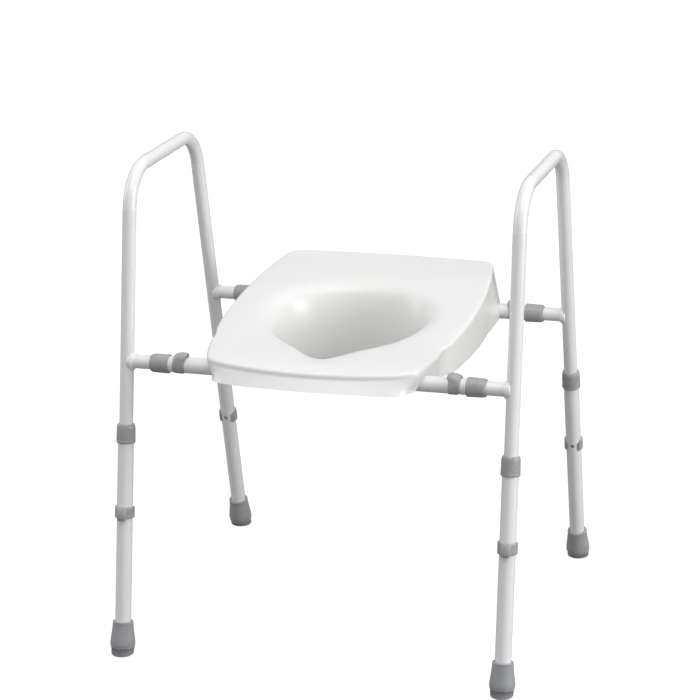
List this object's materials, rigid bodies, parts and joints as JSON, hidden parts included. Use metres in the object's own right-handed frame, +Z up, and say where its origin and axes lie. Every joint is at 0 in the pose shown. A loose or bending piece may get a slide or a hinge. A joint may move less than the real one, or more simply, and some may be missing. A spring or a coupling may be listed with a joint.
{
  "type": "raised toilet seat",
  "caption": "Free-standing raised toilet seat: dished moulded seat on a white steel frame with arm rails, telescopic legs and cross tubes, snap-pin locks and rubber feet.",
  "frame": {"origin": "on the floor, under the middle of the frame", "axes": "+Z up, -Y towards the front where the user sits down, +X to the right as seen from the front"},
  "size_m": [0.5802, 0.5445, 0.6777],
  "materials": {
    "frame_paint": "gloss",
    "seat_plastic": "satin gloss",
    "grey_plastic": "satin",
    "foot_rubber": "matt",
    "bright_steel": "satin"
  },
  "bodies": {
    "cross_frame": {"front_cross_tube": "frame_paint", "rear_cross_tube": "frame_paint", "front_left_cross_collar": "grey_plastic", "front_right_cross_collar": "grey_plastic", "rear_left_cross_collar": "grey_plastic", "rear_right_cross_collar": "grey_plastic"},
    "left_frame": {"left_side_frame": "frame_paint", "front_left_stub": "frame_paint", "rear_left_stub": "frame_paint"},
    "right_frame": {"right_side_frame": "frame_paint", "front_right_stub": "frame_paint", "rear_right_stub": "frame_paint"},
    "front_left_leg": {"front_left_leg_sleeve": "frame_paint", "front_left_leg_collar": "grey_plastic", "front_left_foot": "foot_rubber", "front_left_foot_washer": "bright_steel"},
    "front_left_leg_lock": {"front_left_leg_clip": "grey_plastic", "front_left_leg_pin": "bright_steel"},
    "front_left_cross_lock": {"front_left_cross_clip": "grey_plastic", "front_left_cross_pin": "bright_steel"},
    "front_right_leg": {"front_right_leg_sleeve": "frame_paint", "front_right_leg_collar": "grey_plastic", "front_right_foot": "foot_rubber", "front_right_foot_washer": "bright_steel"},
    "front_right_leg_lock": {"front_right_leg_clip": "grey_plastic", "front_right_leg_pin": "bright_steel"},
    "front_right_cross_lock": {"front_right_cross_clip": "grey_plastic", "front_right_cross_pin": "bright_steel"},
    "rear_left_leg": {"rear_left_leg_sleeve": "frame_paint", "rear_left_leg_collar": "grey_plastic", "rear_left_foot": "foot_rubber", "rear_left_foot_washer": "bright_steel"},
    "rear_left_leg_lock": {"rear_left_leg_clip": "grey_plastic", "rear_left_leg_pin": "bright_steel"},
    "rear_left_cross_lock": {"rear_left_cross_clip": "grey_plastic", "rear_left_cross_pin": "bright_steel"},
    "rear_right_leg": {"rear_right_leg_sleeve": "frame_paint", "rear_right_leg_collar": "grey_plastic", "rear_right_foot": "foot_rubber", "rear_right_foot_washer": "bright_steel"},
    "rear_right_leg_lock": {"rear_right_leg_clip": "grey_plastic", "rear_right_leg_pin": "bright_steel"},
    "rear_right_cross_lock": {"rear_right_cross_clip": "grey_plastic", "rear_right_cross_pin": "bright_steel"},
    "seat_moulding": {"seat": "seat_plastic"}
  },
  "joints": [
    {"name": "left_width_slide", "type": "slide", "parent": "cross_frame", "child": "left_frame", "axis": [-1, 0, 0], "range_m": [-0.0125, 0.0625]},
    {"name": "right_width_slide", "type": "slide", "parent": "cross_frame", "child": "right_frame", "axis": [1, 0, 0], "range_m": [-0.0125, 0.0625]},
    {"name": "front_left_height_slide", "type": "slide", "parent": "left_frame", "child": "front_left_leg", "axis": [0, -0.1583, -0.9874], "range_m": [-0.025, 0.125]},
    {"name": "front_left_height_lock_pull", "type": "slide", "parent": "front_left_leg", "child": "front_left_leg_lock", "axis": [0, -0.9874, 0.1583], "range_m": [0, 0.03], "deforming": ["front_left_leg_clip"]},
    {"name": "front_left_width_lock_pull", "type": "slide", "parent": "cross_frame", "child": "front_left_cross_lock", "axis": [0, 0, 1], "range_m": [0, 0.03], "deforming": ["front_left_cross_clip"]},
    {"name": "front_right_height_slide", "type": "slide", "parent": "right_frame", "child": "front_right_leg", "axis": [0, -0.1583, -0.9874], "range_m": [-0.025, 0.125]},
    {"name": "front_right_height_lock_pull", "type": "slide", "parent": "front_right_leg", "child": "front_right_leg_lock", "axis": [0, -0.9874, 0.1583], "range_m": [0, 0.03], "deforming": ["front_right_leg_clip"]},
    {"name": "front_right_width_lock_pull", "type": "slide", "parent": "cross_frame", "child": "front_right_cross_lock", "axis": [0, 0, 1], "range_m": [0, 0.03], "deforming": ["front_right_cross_clip"]},
    {"name": "rear_left_height_slide", "type": "slide", "parent": "left_frame", "child": "rear_left_leg", "axis": [0, 0.2231, -0.9748], "range_m": [-0.025, 0.125]},
    {"name": "rear_left_height_lock_pull", "type": "slide", "parent": "rear_left_leg", "child": "rear_left_leg_lock", "axis": [0, 0.9748, 0.2231], "range_m": [0, 0.03], "deforming": ["rear_left_leg_clip"]},
    {"name": "rear_left_width_lock_pull", "type": "slide", "parent": "cross_frame", "child": "rear_left_cross_lock", "axis": [0, 0, 1], "range_m": [0, 0.03], "deforming": ["rear_left_cross_clip"]},
    {"name": "rear_right_height_slide", "type": "slide", "parent": "right_frame", "child": "rear_right_leg", "axis": [0, 0.2231, -0.9748], "range_m": [-0.025, 0.125]},
    {"name": "rear_right_height_lock_pull", "type": "slide", "parent": "rear_right_leg", "child": "rear_right_leg_lock", "axis": [0, 0.9748, 0.2231], "range_m": [0, 0.03], "deforming": ["rear_right_leg_clip"]},
    {"name": "rear_right_width_lock_pull", "type": "slide", "parent": "cross_frame", "child": "rear_right_cross_lock", "axis": [0, 0, 1], "range_m": [0, 0.03], "deforming": ["rear_right_cross_clip"]},
    {"name": "seat_lift", "type": "slide", "parent": "cross_frame", "child": "seat_moulding", "axis": [0, 0, 1], "range_m": [0, 0.15]}
  ]
}
